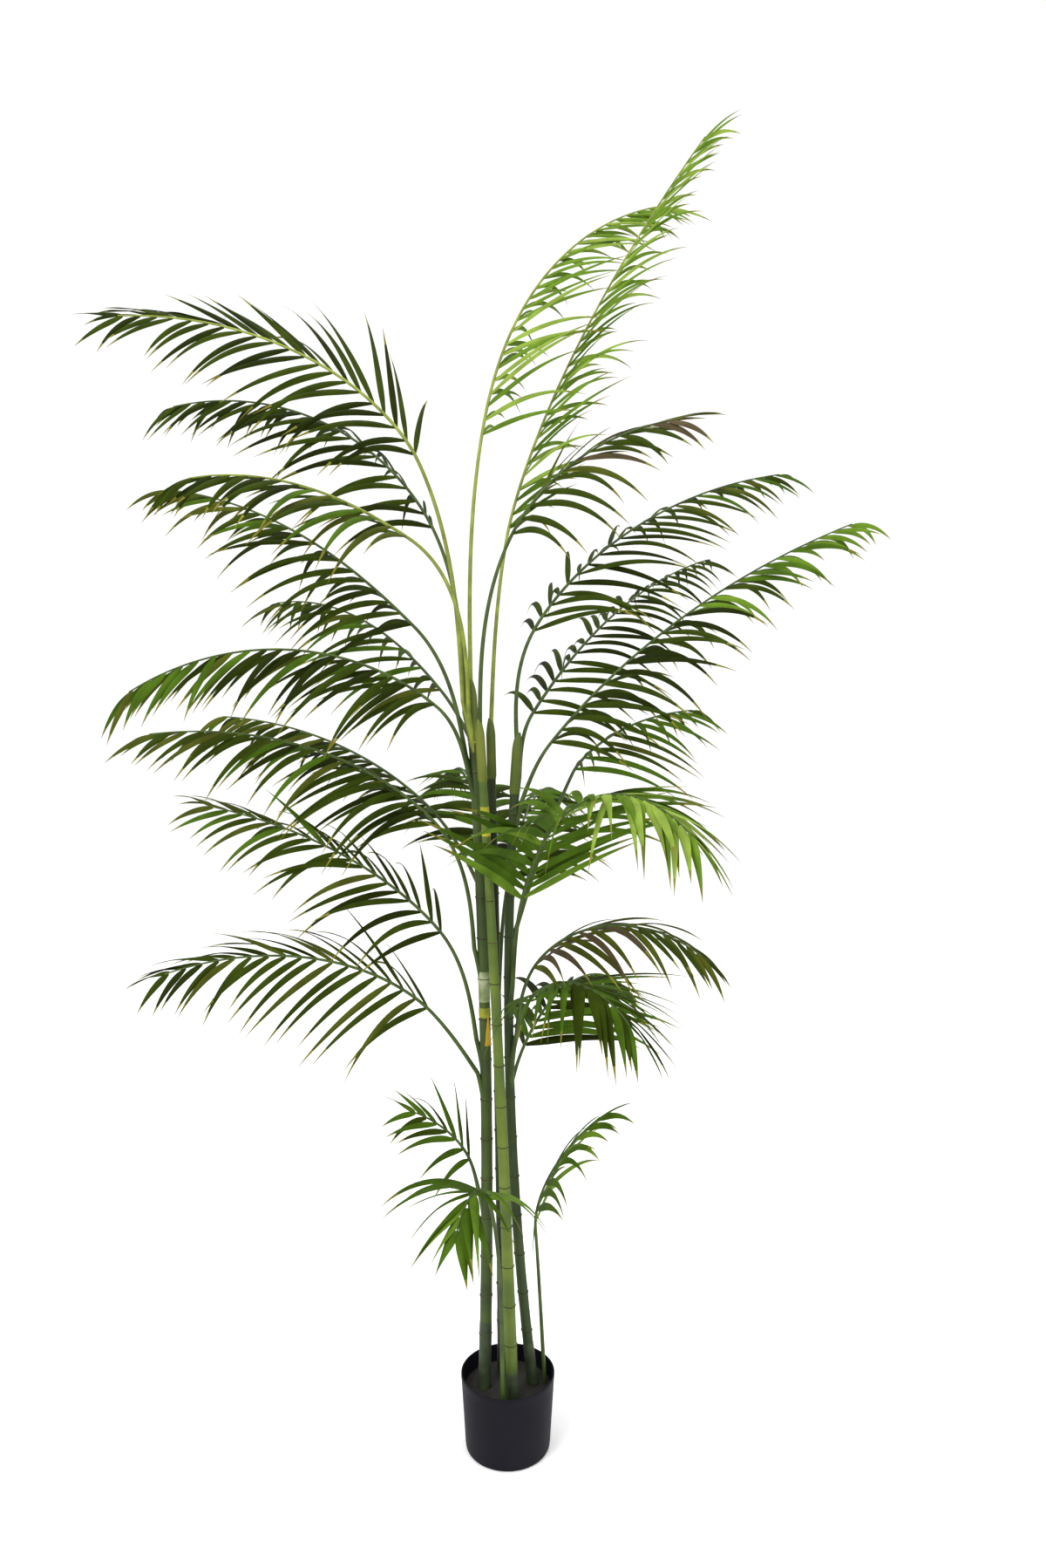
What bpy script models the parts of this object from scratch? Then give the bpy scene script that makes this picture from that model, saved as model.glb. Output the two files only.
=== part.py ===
"""Potted artificial areca palm, about 2.4 m tall.

Four ringed canes and two young shoots stand in the filling of a black plastic pot.
Each frond is a stalk and a blade: a rib with leaflets on both sides, cut to the rib between them.
Metres, +Z up, origin at the centre of the pot's flat underside, -Y towards the viewer.
"""

import math
from typing import NamedTuple

import bpy
from mathutils import Matrix, Vector
from mathutils.bvhtree import BVHTree

UP = Vector((0, 0, 1))
RIGHT_ANGLE = 90
CLEARANCE = 0.0003

POT_HEIGHT = 0.145
POT_RIM_RADIUS = 0.0875
POT_BASE_RADIUS = 0.079
POT_WALL = 0.0025
POT_FLOOR = 0.003
POT_EDGE_RADIUS = 0.006
POT_EDGE_STEPS = 3
POT_SIDES = 32
FILL_DEPTH = 0.030
FILL_TOP = POT_HEIGHT - FILL_DEPTH

CANE_SIDES = 8
RING_GAP = 0.075
RING_HEIGHT = 0.005
RING_SWELL = 0.0010
FOOT_FLARE = 0.0020
FOOT_FLARE_HEIGHT = 0.030

STALK_FOOT_WIDTH = 0.0090
RIB_WIDTH = 0.0064
RIB_TIP_WIDTH = 0.0024
RIB_DEPTH_SHARE = 0.85
STALK_STEPS = 8
MIDLINE_STEPS = 120
STALK_BEND = 2.0

LEAFLET_LENGTH = 0.250
FIRST_LEAFLET_SHARE = 0.75
LAST_LEAFLET_SHARE = 0.32
FULL_LENGTH_FROM = 0.12
LEAFLET_WIDTH = 0.018
LEAFLET_THICKNESS = 0.0020
LEAFLET_PITCH = 0.042
LEAFLET_ROOT = 0.009
LEAFLET_WIDEST = 0.42
LEAFLET_START = 0.015
ROOT_SPLAY = 56.0
TIP_SPLAY = 20.0
LEAFLET_SAG = 0.28
LEAFLET_SHARES = (1.0, 0.8, 0.6, 0.42)
LEAFLET_ROOM = 0.0012

POT_BLACK = (0.020, 0.021, 0.024)
FILLING_BROWN = (0.045, 0.038, 0.030)
CANE_GREEN = (0.075, 0.105, 0.030)
STALK_GREEN = (0.115, 0.150, 0.025)
FROND_GREEN = (0.045, 0.095, 0.018)


class Cane(NamedTuple):
    """A cane's centre at its foot, middle and top, and its radius at the foot and the top."""

    name: str
    foot: tuple
    middle: tuple
    top: tuple
    height: float
    foot_radius: float
    top_radius: float


class Frond(NamedTuple):
    """Where a frond leaves its cane, and how it arches. Lengths in metres, angles in degrees.

    side is where on the cane the stalk starts and heading where the blade points: 0 is +X, 90 is +Y.
    rise, neck and dip are the slopes at the stalk's foot, at the first leaflets and at the tip.
    bend over 1 keeps the arch for the tip, and under 1 bends the blade most near its first leaflets.
    stalk is the bare share of the length, roll turns the blade about its rib to the right, and fold
    lifts the leaflets above the blade's plane, or below it where it is under 0.
    """

    name: str
    cane: str
    foot: float
    side: float
    heading: float
    length: float
    stalk: float
    rise: float
    neck: float
    dip: float
    bend: float
    roll: float = 0.0
    fold: float = 0.0
    leaflet: float = 1.0


CANES = (
    Cane("cane_left", (-0.044, 0.000), (-0.040, 0.000), (-0.064, 0.000), 1.405, 0.0115, 0.0095),
    Cane("cane_front", (0.009, -0.034), (-0.014, -0.034), (-0.047, -0.030), 1.335, 0.0118, 0.0072),
    Cane("cane_right", (0.047, 0.012), (0.004, 0.010), (0.018, 0.012), 1.310, 0.0100, 0.0080),
    Cane("cane_back", (-0.010, 0.042), (-0.018, 0.040), (-0.030, 0.036), 1.335, 0.0100, 0.0072),
)

FRONDS = (
    Frond("frond_01", "cane_left", 1.395, 200, 186, 1.05, 0.41, 87, 64, -8, 0.7, roll=-55),
    Frond("frond_02", "cane_left", 1.375, 150, 168, 0.97, 0.34, 88, 64, -14, 0.9, roll=-25, fold=-25),
    Frond("frond_03", "cane_left", 1.375, 250, 202, 0.74, 0.45, 86, 30, -20, 1.4, roll=-20, fold=-20),
    Frond("frond_04", "cane_left", 1.300, 190, 176, 0.80, 0.31, 80, 45, 2, 1.4, roll=-15, fold=-30),
    Frond("frond_05", "cane_back", 1.260, 150, 150, 0.67, 0.27, 64, 46, -10, 1.3, roll=-10, fold=-30),
    Frond("frond_06", "cane_left", 1.270, 220, 200, 0.71, 0.19, 74, 39, -38, 1.0, roll=-10, fold=-40),
    Frond("frond_07", "cane_back", 1.020, 170, 165, 0.71, 0.26, 66, 48, 0, 0.8, roll=-10, fold=-35),
    Frond("frond_08", "cane_left", 0.950, 195, 186, 0.82, 0.29, 86, 50, -10, 0.8, roll=-20, fold=-30),
    Frond("frond_09", "cane_left", 0.780, 175, 180, 0.73, 0.28, 82, 54, 10, 0.7, roll=-35, fold=-10),
    Frond("frond_10", "cane_left", 0.720, 205, 195, 0.67, 0.23, 58, 48, -20, 0.8, roll=-45, fold=-15),
    Frond("frond_11", "cane_left", 1.405, 0, 20, 1.10, 0.41, 91, 80, 6, 1.3, roll=10, fold=-35),
    Frond("frond_12", "cane_back", 1.335, 0, 356, 1.17, 0.31, 88, 79, 52, 0.6, roll=10, fold=-25),
    Frond("frond_13", "cane_front", 1.335, 0, 342, 0.73, 0.48, 90, 62, 0, 0.9, roll=35, fold=-10),
    Frond("frond_14", "cane_right", 1.310, 0, 25, 0.90, 0.235, 93, 60, 8, 0.7, roll=20, fold=-15),
    Frond("frond_15", "cane_right", 1.260, 60, 45, 0.79, 0.15, 84, 48, 12, 1.0, roll=15, fold=-15),
    Frond("frond_16", "cane_right", 1.215, 0, 2, 0.83, 0.14, 70, 52, 20, 0.9, roll=10, fold=-25),
    Frond("frond_17", "cane_right", 0.975, 40, 30, 0.66, 0.48, 68, 60, 0, 0.5, roll=10, fold=-25),
    Frond("frond_18", "cane_right", 0.880, 300, 302, 0.76, 0.22, 84, 68, -40, 1.1, fold=-5),
    Frond("frond_19", "cane_right", 0.790, 345, 340, 0.50, 0.25, 84, 60, -42, 0.9, roll=10, fold=-10),
    Frond("frond_20", "cane_right", 0.760, 305, 308, 0.42, 0.26, 76, 48, -44, 1.0, fold=-10),
    Frond("frond_21", "cane_left", 0.500, 200, 190, 0.22, 0.25, 78, 70, 20, 0.8, roll=-40, leaflet=0.75),
    Frond("frond_22", "cane_back", 0.860, 75, 75, 0.74, 0.28, 80, 54, -30, 1.0, fold=-20),
    Frond("frond_23", "cane_back", 0.950, 104, 104, 0.66, 0.28, 80, 52, -30, 1.0, fold=-20),
    Frond("frond_24", "cane_back", 0.600, 55, 55, 0.56, 0.26, 72, 48, -36, 1.0, fold=-20),
    Frond("shoot_left", "", 0.062, 262, 250, 0.64, 0.68, 89, 62, -80, 1.0, leaflet=0.85),
    Frond("shoot_right", "", 0.070, 8, 350, 0.59, 0.52, 93, 94, 38, 0.6, fold=-10, leaflet=0.8),
)


def clear_scene():
    for old in list(bpy.data.objects):
        bpy.data.objects.remove(old, do_unlink=True)


def mix(start, end, share):
    return start + (end - start) * share


def compass(heading):
    """The level direction of a heading in degrees."""
    angle = math.radians(heading)
    return Vector((math.cos(angle), math.sin(angle), 0))


def finish(name, colour, roughness):
    made = bpy.data.materials.new(name)
    made.use_nodes = True
    shader = made.node_tree.nodes["Principled BSDF"]
    shader.inputs["Base Color"].default_value = (*colour, 1)
    shader.inputs["Roughness"].default_value = roughness
    shader.inputs["Metallic"].default_value = 0
    made.diffuse_color = (*colour, 1)
    return made


def add_node(name, points, faces, origin, colour, roughness, round_piece):
    """An object with its origin at the given point, its own material, and the plant as its parent."""
    mesh = bpy.data.meshes.new(name)
    mesh.from_pydata([tuple(point - origin) for point in points], [], faces)
    mesh.materials.append(finish(name, colour, roughness))
    if round_piece:
        mesh.shade_smooth()
        mesh.set_sharp_from_angle(angle=math.radians(40))
    node = bpy.data.objects.new(name, mesh)
    node.location = origin
    node.parent = bpy.data.objects["plant"]
    bpy.context.collection.objects.link(node)
    return node


def bridge(start, sides, rings, first_cap=True, last_cap=True):
    """Faces joining rings of points, each ring the given number of sides, with closed ends."""
    faces = []
    for ring in range(rings - 1):
        low = start + ring * sides
        for side in range(sides):
            after = (side + 1) % sides
            faces.append((low + side, low + after, low + sides + after, low + sides + side))
    if first_cap:
        faces.append(tuple(start + side for side in reversed(range(sides))))
    if last_cap:
        top = start + (rings - 1) * sides
        faces.append(tuple(top + side for side in range(sides)))
    return faces


def ring_points(centre, across, along, radius, sides):
    turns = (math.tau * side / sides for side in range(sides))
    return [centre + radius * (math.cos(turn) * across + math.sin(turn) * along) for turn in turns]


def turned(name, profile, colour, roughness):
    """A piece turned about the pot's axis, from a profile of radius and height that starts and ends flat."""
    across, along = Vector((1, 0, 0)), Vector((0, 1, 0))
    points = []
    for radius, height in profile:
        points += ring_points(height * UP, across, along, radius, POT_SIDES)
    faces = bridge(0, POT_SIDES, len(profile))
    return add_node(name, points, faces, Vector(), colour, roughness, True)


def pot_radius(height):
    return mix(POT_BASE_RADIUS, POT_RIM_RADIUS, height / POT_HEIGHT)


def build_pot():
    outer = []
    for step in range(POT_EDGE_STEPS + 1):
        turn = math.radians(90 * step / POT_EDGE_STEPS)
        reach = POT_EDGE_RADIUS * (1 - math.sin(turn))
        outer.append((pot_radius(0) - reach, POT_EDGE_RADIUS * (1 - math.cos(turn))))
    rim = [(POT_RIM_RADIUS, POT_HEIGHT), (POT_RIM_RADIUS - POT_WALL, POT_HEIGHT)]
    inner = [(pot_radius(POT_FLOOR) - POT_WALL, POT_FLOOR)]
    return turned("pot", outer + rim + inner, POT_BLACK, 0.55)


def build_filling():
    low = POT_FLOOR + CLEARANCE
    inset = POT_WALL + 2 * CLEARANCE
    profile = [(pot_radius(low) - inset, low), (pot_radius(FILL_TOP) - inset, FILL_TOP)]
    return turned("filling", profile, FILLING_BROWN, 0.9)


def cane_centre(cane, height):
    """A cane's centre at a height: a smooth curve through its foot, middle and top."""
    share = (height - FILL_TOP) / (cane.height - FILL_TOP)
    level = [
        low * (1 - share) * (1 - 2 * share) + mid * 4 * share * (1 - share) + high * share * (2 * share - 1)
        for low, mid, high in zip(cane.foot, cane.middle, cane.top)
    ]
    return Vector((*level, height))


def cane_radius(cane, height):
    share = (height - FILL_TOP) / (cane.height - FILL_TOP)
    flare = max(0, 1 - (height - FILL_TOP) / FOOT_FLARE_HEIGHT)
    return mix(cane.foot_radius, cane.top_radius, share) + FOOT_FLARE * flare


def cane_rings(cane):
    """Heights along a cane, each with how far the ring there stands out."""
    foot = FILL_TOP + CLEARANCE
    heights = [(foot, 0), (FILL_TOP + FOOT_FLARE_HEIGHT, 0)]
    count = int((cane.height - FILL_TOP - FOOT_FLARE_HEIGHT) / RING_GAP)
    for number in range(1, count):
        ring = FILL_TOP + FOOT_FLARE_HEIGHT + number * RING_GAP
        heights += [(ring - RING_HEIGHT, 0), (ring, RING_SWELL)]
    return heights + [(cane.height, 0)]


def build_cane(cane):
    points = []
    rings = cane_rings(cane)
    for height, swell in rings:
        radius = cane_radius(cane, height) + swell
        across, along = Vector((1, 0, 0)), Vector((0, 1, 0))
        points += ring_points(cane_centre(cane, height), across, along, radius, CANE_SIDES)
    faces = bridge(0, CANE_SIDES, len(rings))
    return add_node(cane.name, points, faces, cane_centre(cane, rings[0][0]), CANE_GREEN, 0.5, True)


def slope(frond, share):
    """The slope of a frond's midline at a share of its length, in degrees."""
    if share < frond.stalk:
        return mix(frond.rise, frond.neck, (share / frond.stalk) ** STALK_BEND)
    return mix(frond.neck, frond.dip, ((share - frond.stalk) / (1 - frond.stalk)) ** frond.bend)


def heading(frond, share):
    """The heading turns from the stalk's side of the cane to the blade's own along the bare stalk."""
    turn = (frond.heading - frond.side + 180) % 360 - 180
    return frond.side + turn * min(1, share / frond.stalk)


def frond_foot(frond):
    """The stalk's foot: on the filling, on the cane's end, or beside the cane, just clear of it."""
    tilt = CLEARANCE + STALK_FOOT_WIDTH / 2 * abs(math.cos(math.radians(frond.rise)))
    if not frond.cane:
        return frond.foot * compass(frond.side) + (FILL_TOP + tilt) * UP
    cane = next(cane for cane in CANES if cane.name == frond.cane)
    centre = cane_centre(cane, frond.foot)
    if frond.foot >= cane.height:
        return centre + tilt * UP
    beside = cane_radius(cane, frond.foot) + RING_SWELL + STALK_FOOT_WIDTH / 2 + CLEARANCE
    return centre + beside * compass(frond.side)


def midline(frond):
    """Points along a frond's middle, evenly spaced from the stalk's foot to the blade's tip."""
    points = [frond_foot(frond)]
    step = frond.length / MIDLINE_STEPS
    for number in range(MIDLINE_STEPS):
        share = (number + 0.5) / MIDLINE_STEPS
        pitch = math.radians(slope(frond, share))
        way = math.cos(pitch) * compass(heading(frond, share)) + math.sin(pitch) * UP
        points.append(points[-1] + step * way)
    return points


def frame_at(frond, line, share):
    """Place, direction, side and top of the midline at a share of its length."""
    place = min(max(share, 0), 1) * MIDLINE_STEPS
    number = min(int(place), MIDLINE_STEPS - 1)
    centre = line[number].lerp(line[number + 1], place - number)
    along = (line[number + 1] - line[number]).normalized()
    roll = Matrix.Rotation(math.radians(frond.roll), 3, along)
    side = roll @ compass(heading(frond, share) - RIGHT_ANGLE)
    return centre, along, side, side.cross(along)


def rib_width(frond, share):
    if share < frond.stalk:
        return mix(STALK_FOOT_WIDTH, RIB_WIDTH, share / frond.stalk)
    return mix(RIB_WIDTH, RIB_TIP_WIDTH, (share - frond.stalk) / (1 - frond.stalk))


def rib_section(frond, line, share):
    """Three corners of the rib: left and right on its flat top, and its keel."""
    centre, along, side, top = frame_at(frond, line, share)
    half = rib_width(frond, share) / 2
    return [
        centre - half * side + half * RIB_DEPTH_SHARE * top,
        centre + half * side + half * RIB_DEPTH_SHARE * top,
        centre - half * RIB_DEPTH_SHARE * top,
    ]


def build_stalk(frond, line):
    end = frond.stalk - CLEARANCE / frond.length
    points = []
    for step in range(STALK_STEPS + 1):
        points += rib_section(frond, line, end * step / STALK_STEPS)
    faces = bridge(0, 3, STALK_STEPS + 1)
    return add_node(frond.name + "_stalk", points, faces, line[0], STALK_GREEN, 0.45, False)


def leaflet_shape(frond, share):
    """Splay from the rib in degrees, and length, of the leaflets at a share of the frond's length."""
    along_blade = (share - frond.stalk) / (1 - frond.stalk)
    profile = mix(1, LAST_LEAFLET_SHARE, along_blade)
    profile *= min(1, mix(FIRST_LEAFLET_SHARE, 1, along_blade / FULL_LENGTH_FROM))
    return mix(ROOT_SPLAY, TIP_SPLAY, along_blade), LEAFLET_LENGTH * frond.leaflet * profile


def leaflet_points(frond, line, share, hand, length_share, room=0):
    """Four corners at a leaflet's widest place and its tip, which sags. hand is -1 left, 1 right."""
    centre, along, side, top = frame_at(frond, line, share)
    splay, length = leaflet_shape(frond, share)
    splay, fold = math.radians(splay), math.radians(frond.fold)
    out = hand * math.cos(fold) * side + math.sin(fold) * top
    way = math.cos(splay) * along + math.sin(splay) * out
    length *= length_share
    middle = centre + LEAFLET_WIDEST * length * way - LEAFLET_WIDEST**2 * LEAFLET_SAG * length * UP
    tip = centre + (length + room) * way - LEAFLET_SAG * length * UP
    wide = (along - along.dot(way) * way).normalized() * (LEAFLET_WIDTH / 2 + room)
    thick = way.cross(wide).normalized() * (LEAFLET_THICKNESS / 2 + room)
    if thick.dot(top) < 0:
        thick = -thick
    upper = [middle - wide + thick, middle + wide + thick]
    lower = [middle + wide - thick, middle - wide - thick]
    return [*upper, *lower, tip]


class Clearances:
    """The surfaces placed so far, to try new pieces against."""

    def __init__(self):
        self.placed = []

    def add(self, owner, points, faces):
        low = [min(point[axis] for point in points) for axis in range(3)]
        high = [max(point[axis] for point in points) for axis in range(3)]
        self.placed.append((owner, low, high, BVHTree.FromPolygons(points, faces)))

    def clear(self, owner, points, faces):
        """Whether a trial surface misses every surface of other owners."""
        low = [min(point[axis] for point in points) for axis in range(3)]
        high = [max(point[axis] for point in points) for axis in range(3)]
        trial = None
        for other, other_low, other_high, tree in self.placed:
            apart = any(low[axis] > other_high[axis] or high[axis] < other_low[axis] for axis in range(3))
            if other == owner or apart:
                continue
            trial = trial or BVHTree.FromPolygons(points, faces)
            if trial.overlap(tree):
                return False
        return True


LEAFLET_SIDES = bridge(0, 4, 2, False, False) + [(4, 5, 8), (5, 6, 8), (6, 7, 8), (7, 4, 8)]
LEAFLET_SOLID = [(3, 2, 1, 0), *LEAFLET_SIDES]


def blade_shares(frond):
    """Shares of the frond's length where leaflet pairs grow."""
    first, last = LEAFLET_START, frond.length * (1 - frond.stalk) - LEAFLET_START
    count = max(2, round((last - first) / LEAFLET_PITCH))
    return [frond.stalk + mix(first, last, number / count) / frond.length for number in range(count + 1)]


def rib_shares(frond):
    """Shares of the frond's length of the rib's sections: its ends, and two for each leaflet pair."""
    half = LEAFLET_ROOT / 2 / frond.length
    pairs = [share + shift for share in blade_shares(frond) for shift in (-half, half)]
    return [frond.stalk, *pairs, 1]


def rib_mesh(frond, line):
    shares = rib_shares(frond)
    points = [corner for share in shares for corner in rib_section(frond, line, share)]
    return points, bridge(0, 3, len(shares))


def root_corners(ring, hand):
    """The rib's side face that a leaflet grows from, in the order of the leaflet's corners."""
    edge = 3 * ring if hand < 0 else 3 * ring + 1
    return [edge, edge + 3, 3 * ring + 5, 3 * ring + 2]


def fitting_leaflet(frond, line, share, hand, root, clearances):
    """The longest leaflet that stays clear of everything placed so far, or None."""
    for length_share in LEAFLET_SHARES:
        trial = root + leaflet_points(frond, line, share, hand, length_share, LEAFLET_ROOM)
        if clearances.clear(frond.name, trial, LEAFLET_SOLID):
            leaflet = leaflet_points(frond, line, share, hand, length_share)
            clearances.add(frond.name + "_leaflet", root + leaflet, LEAFLET_SOLID)
            return leaflet
    return None


def build_blade(frond, line, clearances):
    points, faces = rib_mesh(frond, line)
    for number, share in enumerate(blade_shares(frond)):
        ring = 2 * number + 1
        for hand in (-1, 1):
            corners = root_corners(ring, hand)
            root = [points[corner] for corner in corners]
            leaflet = fitting_leaflet(frond, line, share, hand, root, clearances)
            if leaflet is None:
                continue
            corners += range(len(points), len(points) + len(leaflet))
            points += leaflet
            faces[3 * ring + (2 if hand < 0 else 1)] = None
            faces += [tuple(corners[corner] for corner in face[::-hand]) for face in LEAFLET_SIDES]
    faces = [face for face in faces if face]
    add_node(frond.name + "_blade", points, faces, line[0], FROND_GREEN, 0.55, False)


def build_plant():
    clear_scene()
    plant = bpy.data.objects.new("plant", None)
    bpy.context.collection.objects.link(plant)
    build_pot()
    build_filling()
    for cane in CANES:
        build_cane(cane)
    lines = {frond.name: midline(frond) for frond in FRONDS}
    for frond in FRONDS:
        build_stalk(frond, lines[frond.name])
    clearances = Clearances()
    for node in bpy.data.objects:
        if node.type == "MESH":
            faces = [tuple(face.vertices) for face in node.data.polygons]
            clearances.add(node.name, [node.location + point.co for point in node.data.vertices], faces)
    for frond in FRONDS:
        clearances.add(frond.name, *rib_mesh(frond, lines[frond.name]))
    for frond in FRONDS:
        build_blade(frond, lines[frond.name], clearances)


build_plant()
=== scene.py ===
"""Looks of the potted artificial areca palm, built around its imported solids.

Every frond is grown again by the rule of its solid: a rib along the same midline, which ends a little
short of the solid's tip, and leaflets in pairs along it, set closer, curved and mostly slimmer.
Metres, +Z up, -Y towards the viewer.
"""

import math
from typing import NamedTuple

import bpy
import numpy as np
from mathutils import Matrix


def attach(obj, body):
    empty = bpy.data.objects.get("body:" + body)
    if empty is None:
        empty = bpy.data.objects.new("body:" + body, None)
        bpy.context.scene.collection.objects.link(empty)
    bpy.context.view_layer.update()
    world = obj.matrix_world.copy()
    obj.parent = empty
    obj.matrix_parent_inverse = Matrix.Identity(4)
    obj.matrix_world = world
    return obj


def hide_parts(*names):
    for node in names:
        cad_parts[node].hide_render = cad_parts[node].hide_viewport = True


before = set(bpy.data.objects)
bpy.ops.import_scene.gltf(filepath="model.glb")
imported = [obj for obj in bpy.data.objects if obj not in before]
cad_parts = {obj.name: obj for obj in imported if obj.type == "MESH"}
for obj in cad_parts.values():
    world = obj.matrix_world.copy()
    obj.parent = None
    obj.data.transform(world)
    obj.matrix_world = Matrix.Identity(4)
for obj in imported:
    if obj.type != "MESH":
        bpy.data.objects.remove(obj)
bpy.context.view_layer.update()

SEED = 7
UP = np.array((0.0, 0.0, 1.0))
RIGHT_ANGLE = 90
SMOOTH_ANGLE = 50

# Pot
POT_HEIGHT = 0.145
POT_RIM_RADIUS = 0.0875
POT_BASE_RADIUS = 0.079
POT_WALL = 0.0025
POT_EDGE_RADIUS = 0.006
POT_FLOOR_TOP = 0.004
POT_SIDE_ROWS = 12
POT_INSIDE_ROWS = 8
POT_INSIDE_DROP = 0.006
POT_SMOOTH_ANGLE = 40
UNDERSIDE_RISE = 0.0008
FOOT_RING_WIDTH = 0.014
FOOT_RING_SLOPE = 0.002
RIM_BAND_HEIGHT = 0.009
RIM_BAND_SLOPE = 0.001
RIM_BAND_STEP = 0.0002
AXIS_RADIUS = 0.001
ARC_STEPS = 8
TURN_STEPS = 96

# Filling
FILL_TOP = 0.115
FILL_BOTTOM = 0.010
FILL_GAP = 0.0004
FILL_RINGS = 24
FILL_ROUGHNESS = 0.0012
FILL_UNEVENNESS = 0.5
FILL_WAVES = 6
FILL_WAVE_NUMBER = 60
FILL_GRAIN = 0.35
FILL_EDGE_DROP = 0.0025

# Canes
CANE_STEPS = 28
CANE_ROW_GAP = 0.002
CANE_SUNK = 0.001
FOOT_FLARE = 0.0020
FOOT_FLARE_HEIGHT = 0.030
WAIST = 0.0003
RING_GAP = 0.075
RING_SWELL = 0.0010
RING_HEIGHT = 0.005
LIP_DROP = RING_HEIGHT / 4
LIP_HEIGHT = RING_HEIGHT / 3
GROOVE_RISE = RING_HEIGHT / 2
GROOVE_HEIGHT = RING_HEIGHT / 4
GROOVE_DEPTH = 0.4 * RING_SWELL
SCAR_HEIGHT = 0.0018
SCAR_RISE = 0.0003
SCAR_ROWS = 4
BAND_WALL = 0.0005
BAND_ROWS = 12

# Sheaths at the canes' ends, and the loose tip of one lower down
SHEATH_LENGTH = 0.110
SHEATH_TOP = 0.030
SHEATH_WALL = 0.0012
SHEATH_EDGE_CUT = 0.8
SHEATH_DRAW = 0.55
SHEATH_DRAW_CURVE = 1.5
SHEATH_ROWS = 16
SHEATH_TIP_CANE = "cane_left"
SHEATH_TIP_FOOT = 0.772
SHEATH_TIP_LENGTH = 0.056
SHEATH_TIP_WIDTH = 0.013
SHEATH_TIP_POINT = 0.0006
SHEATH_TIP_TAPER = 0.8
SHEATH_TIP_HALF_THICKNESS = 0.0012
SHEATH_TIP_THINNING = 0.0008
SHEATH_TIP_GAP = 0.0006
SHEATH_TIP_LIFT = 0.002
SHEATH_TIP_FACING = 300
SHEATH_TIP_ROWS = 12

# Stalks' feet, which clasp their cane
CLASP_LENGTH = 0.070
CLASP_INSIDE = 0.35
CLASP_CURVE = 1.6
CLASP_WIDENING = 0.5
CLASP_ROWS = 8

# Ribs
STALK_FOOT_WIDTH = 0.0090
RIB_WIDTH = 0.0064
RIB_TIP_WIDTH = 0.0024
RIB_HEIGHT_SHARE = 0.9
RIB_SIDES = 10
RIB_ROWS = 90
STALK_BEND = 2.0
MIDLINE_STEPS = 120
CLEARANCE = 0.0003
BLADE_END = 0.95

# Leaflets
LEAFLET_LENGTH = 0.250
FIRST_LEAFLET_SHARE = 0.75
LAST_LEAFLET_SHARE = 0.32
FULL_LENGTH_FROM = 0.12
LENGTH_RANGE = (0.82, 1.06)
LEAFLET_PITCH = 0.027
LEAFLET_START = 0.008
LEAFLET_INSET = 0.42
PLACE_SPREAD = 0.0012
ROOT_SPLAY = 56.0
TIP_SPLAY = 20.0
SPLAY_SPREAD = 5.0
FOLD_SPREAD = 8.0
TWIST_SPREAD = 9.0
UPPER_SWEEP = 0.50
UPPER_STIFFNESS = 0.80
DROOP = 0.95
DROOP_RANGE = (0.5, 1.5)
DROOP_CURVE = 1.2

# A leaflet's section
LEAFLET_WIDTH = 0.0124
WIDTH_BY_LENGTH = 0.2
ROOT_WIDTH_SHARE = 0.42
WIDEST_FROM = 0.22
TAPER_FROM = 0.28
TAPER_CURVE = 1.4
POINT_WIDTH = 0.0005
LEAFLET_THICKNESS = 0.0006
LEAFLET_THINNING = 0.6
CREASE = 16.0
LEAFLET_STEPS = 16
TIP_STEPS = 3
BODY_RINGS = LEAFLET_STEPS + 1 - TIP_STEPS
LEAFLET_PLACES = np.linspace(0, 1, LEAFLET_STEPS + 1)
LEAFLET_CORNERS = ((-1, 0), (-0.5, 1), (0, 1), (0.5, 1), (1, 0), (0.5, -1), (0, -1), (-0.5, -1))

# Tones
TONE_BORDER = 0.5
TONE_BORDER_SPREAD = 0.15
LEAF_VARIETY = 0.30
RIB_VARIETY = 0.35
LEAF_TONES = {
    "deep": (0.012, 0.018, 0.001),
    "dark": (0.023, 0.037, 0.002),
    "olive": (0.050, 0.060, 0.006),
    "green": (0.042, 0.085, 0.005),
    "fresh": (0.085, 0.155, 0.012),
    "light": (0.165, 0.240, 0.035),
    "brown": (0.060, 0.046, 0.022),
    "tip": (0.140, 0.132, 0.020),
}
RIB_TONES = {
    "rib_bright": (0.170, 0.205, 0.030),
    "rib_green": (0.040, 0.066, 0.011),
}
CANE_TONES = {
    "cane_left": [(0.016, 0.024, 0.008), (0.052, 0.082, 0.014)],
    "cane_front": [(0.034, 0.064, 0.010), (0.115, 0.160, 0.020)],
    "cane_right": [(0.014, 0.026, 0.008), (0.038, 0.058, 0.014)],
    "cane_back": [(0.012, 0.020, 0.006), (0.030, 0.040, 0.010)],
}
BAND_TONES = {
    "yellow": [(0.130, 0.160, 0.015), (0.420, 0.370, 0.020)],
    # Painted highlight: pale grey tones that stand for light glinting on a stretch of the left cane.
    "painted_highlight": [(0.110, 0.150, 0.050), (0.330, 0.350, 0.210)],
    "foot": [(0.018, 0.026, 0.014), (0.040, 0.056, 0.026)],
}
SCAR_TONES = [(0.022, 0.022, 0.008), (0.060, 0.056, 0.018)]
SHEATH_TONES = [(0.040, 0.070, 0.010), (0.120, 0.135, 0.016)]
SHEATH_TIP_TONES = [(0.330, 0.210, 0.010), (0.480, 0.300, 0.015)]
POT_TONES = [(0.0045, 0.0045, 0.0075), (0.0070, 0.0070, 0.0110)]
CEMENT_TONES = [(0.007, 0.006, 0.005), (0.018, 0.015, 0.012)]

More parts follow.
